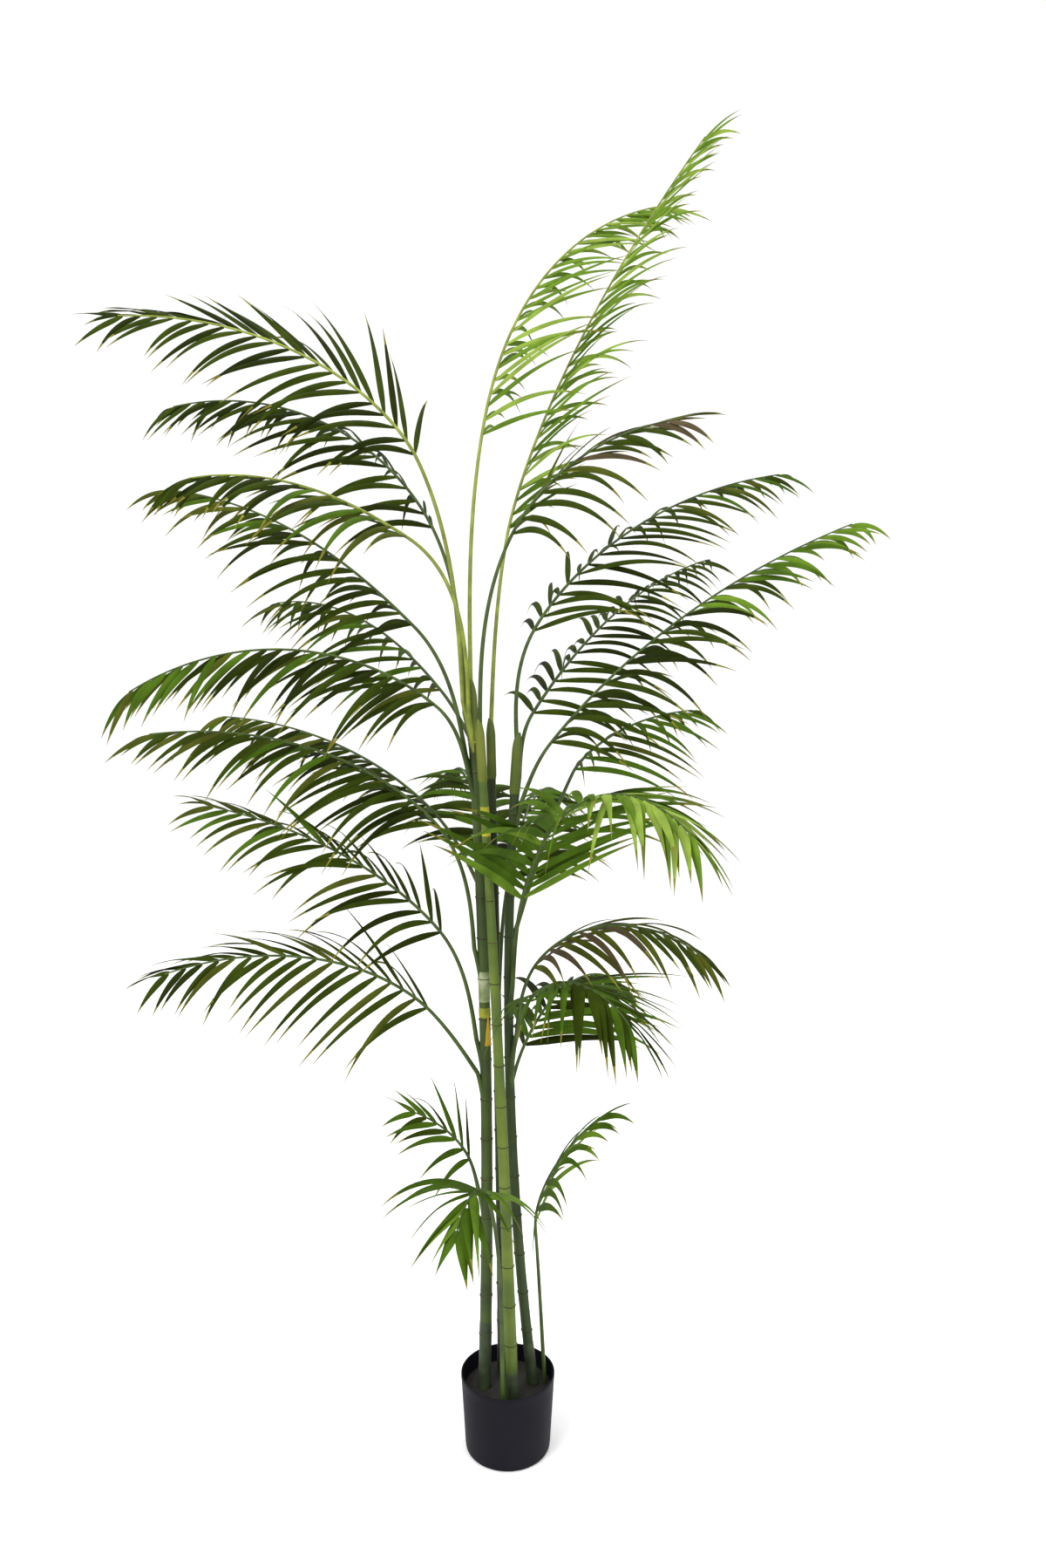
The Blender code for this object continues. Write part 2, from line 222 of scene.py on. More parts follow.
# Materials
TONE_STOPS = (0.3, 0.7)
TONE_DETAIL = 3.0
RELIEF_DETAIL = 4.0
RELIEF_DISTANCE = 0.001

# Stage
FLOOR_RADIUS = 14
FLOOR_STEPS = 96
FLOOR_WHITE = 0.96
WORLD_STRENGTH = 1.08
LIGHT_AIM = (0, 0, 1.2)
PHOTO_HEIGHT = 1798
FOCAL_PIXELS = 1262.0
CAMERA_PLACE = (0.0285, -1.96, 1.42)
CAMERA_PITCH = 5.0
CLIP_START = 0.05
SENSOR = 36.0


class Cane(NamedTuple):
    """A cane's centre at its foot, middle and top, and its radius at the foot and the top."""

    name: str
    foot: tuple
    middle: tuple
    top: tuple
    height: float
    foot_radius: float
    top_radius: float


class Band(NamedTuple):
    """A stretch of a cane in another tone, by the height of its middle."""

    cane: str
    height: float
    length: float
    tone: str


class Frond(NamedTuple):
    """Where a frond leaves its cane and how it arches, as in the part's source, then its leaflets.

    foot is a height on the cane, or for a shoot, which has no cane, the distance from the pot's axis.
    side is where on the cane the stalk starts and heading where the blade points: 0 is +X, 90 is +Y.
    rise, neck and dip are the slopes at the stalk's foot, at the first leaflets and at the tip.
    bend over 1 keeps the arch for the tip, and under 1 bends the blade most near its first leaflets.
    stalk is the bare share of the length, roll turns the blade about its rib to the right, and fold
    lifts the leaflets above the blade's plane, or below it where it is under 0.
    inner and outer are the tones dealt out near the stalk and near the tip, and rib is the rib's piece.
    leaflet, width, sag, tip_sag and pitch are how many times as long, as broad, as drooping near the
    stalk and near the tip, and as far apart as usual its leaflets are.
    """

    name: str
    cane: str
    foot: float
    side: float
    heading: float
    length: float
    stalk: float
    rise: float
    neck: float
    dip: float
    bend: float
    roll: float
    fold: float
    inner: str
    outer: str
    rib: str
    leaflet: float = 1.0
    width: float = 1.0
    sag: float = 1.0
    tip_sag: float = 1.0
    pitch: float = 1.0


class Light(NamedTuple):
    """A round lamp of the studio."""

    name: str
    place: tuple
    size: float
    power: float


CANES = (
    Cane("cane_left", (-0.044, 0.000), (-0.040, 0.000), (-0.064, 0.000), 1.405, 0.0115, 0.0095),
    Cane("cane_front", (0.009, -0.034), (-0.014, -0.034), (-0.047, -0.030), 1.335, 0.0118, 0.0072),
    Cane("cane_right", (0.047, 0.012), (0.004, 0.010), (0.018, 0.012), 1.310, 0.0100, 0.0080),
    Cane("cane_back", (-0.010, 0.042), (-0.018, 0.040), (-0.030, 0.036), 1.335, 0.0100, 0.0072),
)

BANDS = (
    Band("cane_left", 1.372, 0.030, "yellow"),
    Band("cane_left", 1.328, 0.012, "yellow"),
    Band("cane_front", 1.205, 0.012, "yellow"),
    Band("cane_front", 1.164, 0.010, "yellow"),
    # A painted highlight: a pale grey stretch of the left cane in place of light glinting on it.
    Band("cane_left", 0.880, 0.056, "painted_highlight"),
    Band("cane_left", 0.832, 0.018, "yellow"),
    Band("cane_left", 0.180, 0.130, "foot"),
    Band("cane_front", 0.141, 0.050, "foot"),
    Band("cane_right", 0.156, 0.080, "foot"),
    Band("cane_back", 0.180, 0.130, "foot"),
)

SHADE = "deep dark"
DEEP = "deep dark green"
DARK = "dark dark deep"
PLAIN = "dark green"
MIXED = "dark olive green"
LEAFY = "green green fresh"
PALE = "fresh fresh light"
FEATHERY = {"width": 0.75, "sag": 0.6, "tip_sag": 0.6, "pitch": 0.85}
DENSE = {"width": 1.3, "sag": 0.8, "tip_sag": 1.2, "pitch": 0.7}

FRONDS = (
    Frond("frond_01", "cane_left", 1.395, 200, 186, 1.05, 0.41, 87, 64, -8, 0.7, -55, 0,
          DARK, DARK, "rib_bright"),
    Frond("frond_02", "cane_left", 1.375, 150, 168, 0.97, 0.34, 88, 64, -14, 0.9, -25, -25,
          DARK, DARK, "rib_green"),
    Frond("frond_03", "cane_left", 1.375, 250, 202, 0.74, 0.45, 86, 30, -20, 1.4, -20, -20,
          MIXED, DARK, "rib_bright"),
    Frond("frond_04", "cane_left", 1.300, 190, 176, 0.80, 0.31, 80, 45, 2, 1.4, -15, -30,
          DARK, MIXED, "rib_green"),
    Frond("frond_05", "cane_back", 1.260, 150, 150, 0.67, 0.27, 64, 46, -10, 1.3, -10, -30,
          MIXED, "olive dark", "rib_green"),
    Frond("frond_06", "cane_left", 1.270, 220, 200, 0.71, 0.19, 74, 39, -38, 1.0, -10, -40,
          DARK, "green olive", "rib_green"),
    Frond("frond_07", "cane_back", 1.020, 170, 165, 0.71, 0.26, 66, 48, 0, 0.8, -10, -35,
          DARK, MIXED, "rib_green"),
    Frond("frond_08", "cane_left", 0.950, 195, 186, 0.82, 0.29, 86, 50, -10, 0.8, -20, -30,
          DARK, MIXED, "rib_green"),
    Frond("frond_09", "cane_left", 0.780, 175, 180, 0.73, 0.28, 82, 54, 10, 0.7, -35, -10,
          DARK, MIXED, "rib_green"),
    Frond("frond_10", "cane_left", 0.720, 205, 195, 0.67, 0.23, 58, 48, -20, 0.8, -45, -15,
          "dark olive", DARK, "rib_green"),
    Frond("frond_11", "cane_left", 1.405, 0, 20, 1.10, 0.41, 91, 80, 6, 1.3, 10, -35,
          PALE, PALE, "rib_bright", **FEATHERY),
    Frond("frond_12", "cane_back", 1.335, 0, 356, 1.17, 0.31, 88, 79, 52, 0.6, 10, -25,
          "fresh green light", PALE, "rib_bright", **FEATHERY),
    Frond("frond_13", "cane_front", 1.335, 0, 342, 0.73, 0.48, 90, 62, 0, 0.9, 35, -10,
          "dark olive", "olive dark brown", "rib_green"),
    Frond("frond_14", "cane_right", 1.310, 0, 25, 0.90, 0.235, 93, 60, 8, 0.7, 20, -15,
          DARK, MIXED, "rib_green"),
    Frond("frond_15", "cane_right", 1.260, 60, 45, 0.79, 0.15, 84, 48, 12, 1.0, 15, -15,
          SHADE, DARK, "rib_green"),
    Frond("frond_16", "cane_right", 1.215, 0, 2, 0.83, 0.14, 70, 52, 20, 0.9, 10, -25,
          DARK, "green fresh", "rib_green"),
    Frond("frond_17", "cane_right", 0.975, 40, 30, 0.66, 0.48, 68, 60, 0, 0.5, 10, -25,
          MIXED, "green dark", "rib_green"),
    Frond("frond_18", "cane_right", 0.880, 300, 302, 0.76, 0.22, 84, 68, -40, 1.1, 0, -5,
          LEAFY, "fresh light light", "rib_green",
          leaflet=1.3, width=1.3, sag=0.4, tip_sag=1.6, pitch=0.65),
    Frond("frond_19", "cane_right", 0.790, 345, 340, 0.50, 0.25, 84, 60, -42, 0.9, 10, -10,
          "olive brown", "dark olive", "rib_green", sag=0.9, tip_sag=1.1, pitch=0.8),
    Frond("frond_20", "cane_right", 0.760, 305, 308, 0.42, 0.26, 76, 48, -44, 1.0, 0, -10,
          PLAIN, PLAIN, "rib_green", leaflet=1.2, **DENSE),
    Frond("frond_21", "cane_left", 0.500, 200, 190, 0.22, 0.25, 78, 70, 20, 0.8, -40, 0,
          PLAIN, PLAIN, "rib_green", leaflet=0.75, pitch=0.8),
    Frond("frond_22", "cane_back", 0.860, 75, 75, 0.74, 0.28, 80, 54, -30, 1.0, 0, -20,
          DEEP, PLAIN, "rib_green", **DENSE),
    Frond("frond_23", "cane_back", 0.950, 104, 104, 0.66, 0.28, 80, 52, -30, 1.0, 0, -20,
          DEEP, PLAIN, "rib_green", **DENSE),
    Frond("frond_24", "cane_back", 0.600, 55, 55, 0.56, 0.26, 72, 48, -36, 1.0, 0, -20,
          DEEP, PLAIN, "rib_green", leaflet=1.25, **DENSE),
    Frond("shoot_left", "", 0.062, 262, 250, 0.64, 0.68, 89, 62, -80, 1.0, 0, 0,
          LEAFY, LEAFY, "rib_green", leaflet=0.85, width=1.7, sag=1.2, tip_sag=1.2, pitch=0.75),
    Frond("shoot_right", "", 0.070, 8, 350, 0.59, 0.52, 93, 94, 38, 0.6, 0, -10,
          LEAFY, LEAFY, "rib_green", leaflet=0.8, width=1.2),
)

LIGHTS = (
    Light("key", (-2.2, -2.6, 3.4), 2.2, 120),
    Light("fill", (2.6, -2.2, 2.0), 2.4, 45),
    Light("top", (0.2, 0.6, 4.4), 2.6, 60),
)


# Vectors

def compass(heading):
    """Level directions of headings in degrees."""
    angle = np.radians(heading)
    return np.stack([np.cos(angle), np.sin(angle), np.zeros_like(angle)], axis=-1)


def unit(vectors):
    return vectors / np.linalg.norm(vectors, axis=-1, keepdims=True)


def turned_about(vectors, axes, degrees):
    """Vectors at right angles to their axes, turned about them."""
    angle = np.radians(degrees)[..., None]
    return vectors * np.cos(angle) + np.cross(axes, vectors) * np.sin(angle)


# Centre lines and widths, as in the part's source

def cane_named(name):
    """The cane of that name, or None for a shoot's empty name."""
    return next((cane for cane in CANES if cane.name == name), None)


def cane_centre(cane, height):
    """A cane's centre at heights: a smooth curve through its foot, middle and top."""
    height = np.asarray(height, float)
    share = (height - FILL_TOP) / (cane.height - FILL_TOP)
    level = [
        low * (1 - share) * (1 - 2 * share) + mid * 4 * share * (1 - share) + high * share * (2 * share - 1)
        for low, mid, high in zip(cane.foot, cane.middle, cane.top)
    ]
    return np.stack([*level, height], axis=-1)


def cane_radius(cane, height):
    share = (height - FILL_TOP) / (cane.height - FILL_TOP)
    flare = np.maximum(0, 1 - (height - FILL_TOP) / FOOT_FLARE_HEIGHT)
    return cane.foot_radius + (cane.top_radius - cane.foot_radius) * share + FOOT_FLARE * flare


def slope(frond, share):
    """A frond's slope in degrees at shares of its length."""
    early = frond.rise + (frond.neck - frond.rise) * np.clip(share / frond.stalk, 0, 1) ** STALK_BEND
    late = np.clip((share - frond.stalk) / (1 - frond.stalk), 0, 1) ** frond.bend
    return np.where(share < frond.stalk, early, frond.neck + (frond.dip - frond.neck) * late)


def heading(frond, share):
    """A frond's heading in degrees at shares of its length: it turns along the stalk only."""
    turn = (frond.heading - frond.side + 180) % 360 - 180
    return frond.side + turn * np.minimum(1, share / frond.stalk)


def frond_foot(frond):
    """Where a frond's midline starts: in the filling, on its cane's end or beside its cane."""
    tilt = CLEARANCE + STALK_FOOT_WIDTH / 2 * abs(math.cos(math.radians(frond.rise)))
    cane = cane_named(frond.cane)
    if cane is None:
        return frond.foot * compass(frond.side) + (FILL_TOP + tilt) * UP
    centre = cane_centre(cane, frond.foot)
    if frond.foot >= cane.height:
        return centre + tilt * UP
    beside = cane_radius(cane, frond.foot) + RING_SWELL + STALK_FOOT_WIDTH / 2 + CLEARANCE
    return centre + beside * compass(frond.side)


def midline(frond):
    """Points along the middle of a frond's rib, from its foot to its solid's tip."""
    share = (np.arange(MIDLINE_STEPS) + 0.5) / MIDLINE_STEPS
    pitch = np.radians(slope(frond, share))[:, None]
    steps = np.cos(pitch) * compass(heading(frond, share)) + np.sin(pitch) * UP
    foot = frond_foot(frond)
    return np.vstack([foot, foot + np.cumsum(steps, 0) * frond.length / MIDLINE_STEPS])


def frames_at(frond, line, share):
    """Places, directions, sides and tops of the midline at shares of its length."""
    place = np.clip(share, 0, 1) * MIDLINE_STEPS
    knots = np.arange(MIDLINE_STEPS + 1)
    centre = np.stack([np.interp(place, knots, line[:, axis]) for axis in range(3)], axis=-1)
    tangents = unit(np.gradient(line, axis=0))
    along = unit(np.stack([np.interp(place, knots, tangents[:, axis]) for axis in range(3)], axis=-1))
    side = compass(heading(frond, share) - RIGHT_ANGLE)
    side = unit(side - (side * along).sum(-1, keepdims=True) * along)
    side = turned_about(side, along, np.full(len(side), float(frond.roll)))
    return centre, along, side, np.cross(side, along)


def rib_width(frond, share):
    stalk = STALK_FOOT_WIDTH + (RIB_WIDTH - STALK_FOOT_WIDTH) * share / frond.stalk
    blade = RIB_WIDTH + (RIB_TIP_WIDTH - RIB_WIDTH) * (share - frond.stalk) / (1 - frond.stalk)
    return np.where(share < frond.stalk, stalk, blade)


# Meshes

def cap_faces(start, sides):
    """Four-cornered faces across a ring of an even number of points, facing the tube's end."""
    near = np.arange(sides // 2 - 1)
    far = sides - 1 - near
    return start + np.stack([near, near + 1, far - 1, far], axis=-1)


def tube_faces(rows, sides):
    """Four-cornered faces of a tube of rings of points, closed at both ends."""
    row, side = np.meshgrid(np.arange(rows - 1), np.arange(sides), indexing="ij")
    low = row * sides + side
    after = row * sides + (side + 1) % sides
    skin = np.stack([low, after, after + sides, low + sides], axis=-1).reshape(-1, 4)
    first = cap_faces(0, sides)[:, ::-1]
    return np.vstack([skin, first, cap_faces((rows - 1) * sides, sides)])


class Pile:
    """Points and four-cornered faces of one piece, gathered from many tubes."""

    def __init__(self):
        self.points = []
        self.faces = []
        self.count = 0

    def add(self, rings):
        """Adds a tube, given as rings of the same number of points."""
        rows, sides, _ = rings.shape
        self.points.append(rings.reshape(-1, 3))
        self.faces.append(tube_faces(rows, sides) + self.count)
        self.count += rows * sides

    def piece(self, name, material, smooth=SMOOTH_ANGLE):
        """The pile as one object, shaded smooth but for edges sharper than an angle in degrees."""
        points = np.vstack(self.points)
        faces = np.vstack(self.faces)
        mesh = bpy.data.meshes.new(name)
        mesh.vertices.add(len(points))
        mesh.vertices.foreach_set("co", points.astype(np.float32).ravel())
        mesh.loops.add(faces.size)
        mesh.loops.foreach_set("vertex_index", faces.astype(np.int32).ravel())
        mesh.polygons.add(len(faces))
        mesh.polygons.foreach_set("loop_start", np.arange(0, faces.size, 4, dtype=np.int32))
        mesh.update(calc_edges=True)
        mesh.validate()
        mesh.materials.append(material)
        mesh.shade_smooth()
        mesh.set_sharp_from_angle(angle=math.radians(smooth))
        piece = bpy.data.objects.new(name, mesh)
        bpy.context.scene.collection.objects.link(piece)
        return piece


def oval_rings(centre, across, up, half_width, half_height, sides):
    """Rings of points, one for each centre: an oval with its axes along across and up."""
    turn = np.arange(sides) * math.tau / sides
    wide = half_width[:, None, None] * np.cos(turn)[None, :, None] * across[:, None, :]
    high = half_height[:, None, None] * np.sin(turn)[None, :, None] * up[:, None, :]
    return centre[:, None, :] + wide + high


def level_rings(centre, radius, sides):
    """Level round rings of points, one for each centre."""
    across = np.tile((1.0, 0.0, 0.0), (len(centre), 1))
    ahead = np.tile((0.0, 1.0, 0.0), (len(centre), 1))
    return oval_rings(centre, across, ahead, radius, radius, sides)


def settle(piece, nodes=()):
    """The piece rides on the plant's body and stands for its nodes, which are hidden."""
    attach(piece, "root")
    if nodes:
        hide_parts(*nodes)


# Materials

def noise(nodes, links, scale, detail, coordinates):
    made = nodes.new("ShaderNodeTexNoise")
    made.inputs["Scale"].default_value = scale
    made.inputs["Detail"].default_value = detail
    links.new(coordinates.outputs["Object"], made.inputs["Vector"])
    return made


def finish(name, tones, roughness, scale=18.0, bump=0.15, bump_scale=420.0, specular=0.5):
    """A material whose colour wanders between two tones, with a fine relief."""
    made = bpy.data.materials.new(name)
    made.use_nodes = True
    nodes, links = made.node_tree.nodes, made.node_tree.links
    shader = nodes["Principled BSDF"]
    shader.inputs["Roughness"].default_value = roughness
    shader.inputs["Specular IOR Level"].default_value = specular
    place = nodes.new("ShaderNodeTexCoord")
    wander = noise(nodes, links, scale, TONE_DETAIL, place)
    ramp = nodes.new("ShaderNodeValToRGB")
    for stop, at, tone in zip(ramp.color_ramp.elements, TONE_STOPS, tones):
        stop.position = at
        stop.color = (*tone, 1)
    links.new(wander.outputs["Fac"], ramp.inputs["Fac"])
    links.new(ramp.outputs["Color"], shader.inputs["Base Color"])
    relief = noise(nodes, links, bump_scale, RELIEF_DETAIL, place)
    raised = nodes.new("ShaderNodeBump")
    raised.inputs["Strength"].default_value = bump
    raised.inputs["Distance"].default_value = RELIEF_DISTANCE
    links.new(relief.outputs["Fac"], raised.inputs["Height"])
    links.new(raised.outputs["Normal"], shader.inputs["Normal"])
    made.diffuse_color = (*tones[0], 1)
    return made


def shades(tone, variety):
    """A darker and a lighter shade of a tone."""
    return [tuple(c * (1 - variety) for c in tone), tuple(c * (1 + variety) for c in tone)]


# Leaflets

def leaflet_shares(frond):
    """Shares of a frond's length where its pairs of leaflets start."""
    first = LEAFLET_START
    last = frond.length * (BLADE_END - frond.stalk) - LEAFLET_START
    count = round((last - first) / LEAFLET_PITCH / frond.pitch)
    return frond.stalk + (first + (last - first) * np.arange(count + 1) / count) / frond.length


def leaflet_ways(frond, blade, hand, frames, rng):
    """Each leaflet's direction at its root, and how far it points up from the blade, from 0 to 1.

    Leaflets that point up are swept more towards the tip.
    """
    _, along, side, top = frames
    count = len(blade)
    splay = np.radians(ROOT_SPLAY + (TIP_SPLAY - ROOT_SPLAY) * blade + rng.normal(0, SPLAY_SPREAD, count))
    fold = np.radians(frond.fold + rng.normal(0, FOLD_SPREAD, count))
    out = (hand * np.cos(fold))[:, None] * side + np.sin(fold)[:, None] * top
    lift = np.clip(out[:, 2], 0, 1)
    splay *= 1 - UPPER_SWEEP * lift
    return np.cos(splay)[:, None] * along + np.sin(splay)[:, None] * out, lift


def leaflet_reach(blade):
    """Each leaflet's length as a share of the longest: shorter at both ends of the blade."""
    reach = 1 + (LAST_LEAFLET_SHARE - 1) * blade
    return reach * np.minimum(1, FIRST_LEAFLET_SHARE + (1 - FIRST_LEAFLET_SHARE) * blade / FULL_LENGTH_FROM)


def leaflet_spines(frond, blade, root, way, lift, length, rng):
    """Centre lines and directions of leaflets that droop more and more towards their tips."""
    count = len(blade)
    sag = frond.sag + (frond.tip_sag - frond.sag) * blade
    droop = DROOP * sag * rng.uniform(*DROOP_RANGE, count) * (1 - UPPER_STIFFNESS * lift)
    fall = droop[:, None] * LEAFLET_PLACES[None, :] ** DROOP_CURVE
    direction = unit(way[:, None, :] - fall[:, :, None] * UP)
    middle = (direction[:, 1:] + direction[:, :-1]) / 2
    steps = middle * (length / LEAFLET_STEPS)[:, None, None]
    spine = root[:, None, :] + np.concatenate([np.zeros((count, 1, 3)), np.cumsum(steps, axis=1)], axis=1)
    return spine, direction


def leaflet_sides(along, top, direction, rng):
    """Directions across leaflets and square to their upper faces, twisted more towards their tips."""
    wide = along[:, None, :] - (along[:, None, :] * direction).sum(-1, keepdims=True) * direction
    twist = rng.normal(0, TWIST_SPREAD, len(along))[:, None] * LEAFLET_PLACES[None, :]
    wide = turned_about(unit(wide), direction, twist)
    normal = np.cross(direction, wide)
    flip = np.sign((normal[:, :1] * top[:, None, :]).sum(-1, keepdims=True))
    return wide * flip, normal * flip


def half_widths():
    """A usual leaflet's half width at its places from root to tip."""
    opening = np.sin(np.clip(LEAFLET_PLACES / WIDEST_FROM, 0, 1) * math.pi / 2)
    root = ROOT_WIDTH_SHARE + (1 - ROOT_WIDTH_SHARE) * opening
    taper = 1 - np.clip((LEAFLET_PLACES - TAPER_FROM) / (1 - TAPER_FROM), 0, 1) ** TAPER_CURVE
    return np.maximum(LEAFLET_WIDTH / 2 * root * taper, POINT_WIDTH / 2)


def leaflet_rings(spine, wide, normal, half):
    """Rings of corners about leaflets' centre lines, thin and creased along the middle."""
    crease = math.tan(math.radians(CREASE))
    thick = LEAFLET_THICKNESS * (1 - LEAFLET_THINNING * LEAFLET_PLACES)
    corners = []
    for across, level in LEAFLET_CORNERS:
        drop = -crease * abs(across) * half + level * thick / 2
        corners.append(spine + (across * half)[..., None] * wide + drop[..., None] * normal)
    return np.stack(corners, axis=2)


def grow_leaflets(frond, line, rng):
    """Rings of each of a frond's leaflets, and each one's place along the blade from 0 to 1."""
    share = np.repeat(leaflet_shares(frond), 2)
    count = len(share)
    hand = np.tile([-1.0, 1.0], count // 2)
    share = np.clip(share + rng.normal(0, PLACE_SPREAD, count) / frond.length, frond.stalk, 1)
    frames = frames_at(frond, line, share)
    centre, along, side, top = frames
    blade = (share - frond.stalk) / (1 - frond.stalk)
    way, lift = leaflet_ways(frond, blade, hand, frames, rng)
    reach = leaflet_reach(blade)
    length = LEAFLET_LENGTH * frond.leaflet * reach * rng.uniform(*LENGTH_RANGE, count)
    root = centre + (hand * LEAFLET_INSET * rib_width(frond, share))[:, None] * side
    spine, direction = leaflet_spines(frond, blade, root, way, lift, length, rng)
    wide, normal = leaflet_sides(along, top, direction, rng)
    half = half_widths() * frond.width * (1 - WIDTH_BY_LENGTH + WIDTH_BY_LENGTH * reach)[:, None]
    return leaflet_rings(spine, wide, normal, half), blade


def deal(frond, place, rng):
    """A leaflet's tone, drawn from the frond's inner or outer tones by its place along the blade."""
    outside = place + rng.normal(0, TONE_BORDER_SPREAD) > TONE_BORDER
    tones = (frond.outer if outside else frond.inner).split()
    return tones[rng.integers(len(tones))]


# Ribs and fronds

def clasp_rings(frond, foot_ring):
    """Rings under a stalk's foot, which run down into the cane's side and widen to clasp it."""
    cane = cane_named(frond.cane)
    if cane is None or frond.foot >= cane.height:
        return np.empty((0, *foot_ring.shape))
    foot = foot_ring.mean(axis=0)
    rings = []
    for row in range(CLASP_ROWS):
        part = row / CLASP_ROWS
        height = frond.foot - CLASP_LENGTH * (1 - part)
        inside = cane_centre(cane, height) + CLASP_INSIDE * cane_radius(cane, height) * compass(frond.side)
        centre = inside + (foot - inside) * part ** CLASP_CURVE
        centre[2] = height
        rings.append(centre + (foot_ring - foot) * (1 + CLASP_WIDENING * (1 - part)))
    return np.array(rings)


def add_rib(pile, frond, line):
    share = np.linspace(0, BLADE_END, RIB_ROWS)
    centre, _, side, top = frames_at(frond, line, share)
    half = rib_width(frond, share) / 2
    rings = oval_rings(centre, side, top, half, half * RIB_HEIGHT_SHARE, RIB_SIDES)
    pile.add(np.concatenate([clasp_rings(frond, rings[0]), rings]))


def build_fronds():
    """The fronds, joined by tone. A blade's node is left to the piece that has its first leaflet."""
    rng = np.random.default_rng(SEED)
    blades = {tone: Pile() for tone in LEAF_TONES}
    blade_nodes = {tone: [] for tone in LEAF_TONES}
    ribs = {name: Pile() for name in RIB_TONES}
    rib_nodes = {name: [] for name in RIB_TONES}
    for frond in FRONDS:
        line = midline(frond)
        add_rib(ribs[frond.rib], frond, line)
        rib_nodes[frond.rib].append(frond.name + "_stalk")
        leaflets, places = grow_leaflets(frond, line, rng)
        tones = [deal(frond, place, rng) for place in places]
        for leaflet, tone in zip(leaflets, tones):
            blades[tone].add(leaflet[:BODY_RINGS])
            blades["tip"].add(leaflet[BODY_RINGS - 1:])
        blade_nodes[tones[0]].append(frond.name + "_blade")
    for tone, pile in blades.items():
        material = finish("leaf_" + tone, shades(LEAF_TONES[tone], LEAF_VARIETY), 0.6, specular=0.03)
        settle(pile.piece("leaflets_" + tone, material), blade_nodes[tone])
    for name, pile in ribs.items():
        material = finish(name, shades(RIB_TONES[name], RIB_VARIETY), 0.5, scale=30, specular=0.2)
        settle(pile.piece(name, material), rib_nodes[name])


# Canes

def ring_heights(cane):
    """Heights of a cane's rings, from above its flared foot to near its end."""
    foot = FILL_TOP + FOOT_FLARE_HEIGHT
    count = int((cane.height - foot) / RING_GAP)
    return foot + RING_GAP * np.arange(1, count)


def cane_relief(cane, height):
    """How far a cane's surface stands out: a lip and a groove at each ring, and a waist between them."""
    rings = ring_heights(cane)
    near = height[:, None] - rings[None, :]
    lip = RING_SWELL * np.exp(-((near + LIP_DROP) / LIP_HEIGHT) ** 2)
    groove = -GROOVE_DEPTH * np.exp(-((near - GROOVE_RISE) / GROOVE_HEIGHT) ** 2)
    waist = -WAIST * np.sin(np.pi * ((height - rings[0]) / RING_GAP % 1))
    return (lip + groove).sum(axis=1) + waist


def add_sleeve(pile, cane, height, radius):
    """A closed sleeve about a cane's centre line."""
    pile.add(level_rings(cane_centre(cane, height), radius, CANE_STEPS))


def add_wrap(pile, cane, height, wall):
    """A sleeve that stands out from a cane's surface by a wall, but for its two ends."""
    rise = np.full(len(height), wall)
    rise[[0, -1]] = 0
    add_sleeve(pile, cane, height, cane_radius(cane, height) + cane_relief(cane, height) + rise)


def build_cane(cane):
    foot = FILL_TOP - CANE_SUNK
    height = np.append(np.arange(foot, cane.height, CANE_ROW_GAP), cane.height)
    radius = cane_radius(cane, np.maximum(height, FILL_TOP)) + cane_relief(cane, height)
    pile = Pile()
    add_sleeve(pile, cane, height, radius)
    tones = CANE_TONES[cane.name]
    material = finish(cane.name, tones, 0.5, scale=9, bump=0.25, bump_scale=260, specular=0.2)
    settle(pile.piece(cane.name + "_skin", material), [cane.name])


def build_bands():
    for tone, tones in BAND_TONES.items():
        pile = Pile()
        for band in BANDS:
            if band.tone == tone:
                height = band.height + band.length * np.linspace(-0.5, 0.5, BAND_ROWS)
                add_wrap(pile, cane_named(band.cane), height, BAND_WALL)
        material = finish("band_" + tone, tones, 0.5, scale=45, specular=0.2)
        settle(pile.piece("cane_bands_" + tone, material))


def build_sheath_tip():
    """The pointed tip of an old sheath, which stands a little off its cane."""
    cane = cane_named(SHEATH_TIP_CANE)
    part = np.linspace(0, 1, SHEATH_TIP_ROWS)
    height = SHEATH_TIP_FOOT + SHEATH_TIP_LENGTH * part
    facing = compass(SHEATH_TIP_FACING)
    off = cane_radius(cane, height) + SHEATH_TIP_GAP + SHEATH_TIP_LIFT * part ** 2
    centre = cane_centre(cane, height) + off[:, None] * facing
    across = np.tile(compass(SHEATH_TIP_FACING + RIGHT_ANGLE), (SHEATH_TIP_ROWS, 1))
    outward = np.tile(facing, (SHEATH_TIP_ROWS, 1))
    half = SHEATH_TIP_WIDTH / 2 * (1 - part) ** SHEATH_TIP_TAPER + SHEATH_TIP_POINT / 2
    thick = SHEATH_TIP_HALF_THICKNESS - SHEATH_TIP_THINNING * part
    pile = Pile()
    pile.add(oval_rings(centre, across, outward, half, thick, RIB_SIDES))
    material = finish("sheath_orange", SHEATH_TIP_TONES, 0.5, specular=0.2)
    settle(pile.piece("sheath_tip", material))


def build_scars():
    """The dark line that each fallen leaf left round a cane."""
    pile = Pile()
    for cane in CANES:
        for ring in ring_heights(cane):
            add_wrap(pile, cane, ring + SCAR_HEIGHT * np.linspace(-1, 0, SCAR_ROWS), SCAR_RISE)
    material = finish("scar_brown", SCAR_TONES, 0.7, scale=40, specular=0.1)
    settle(pile.piece("cane_scars", material))


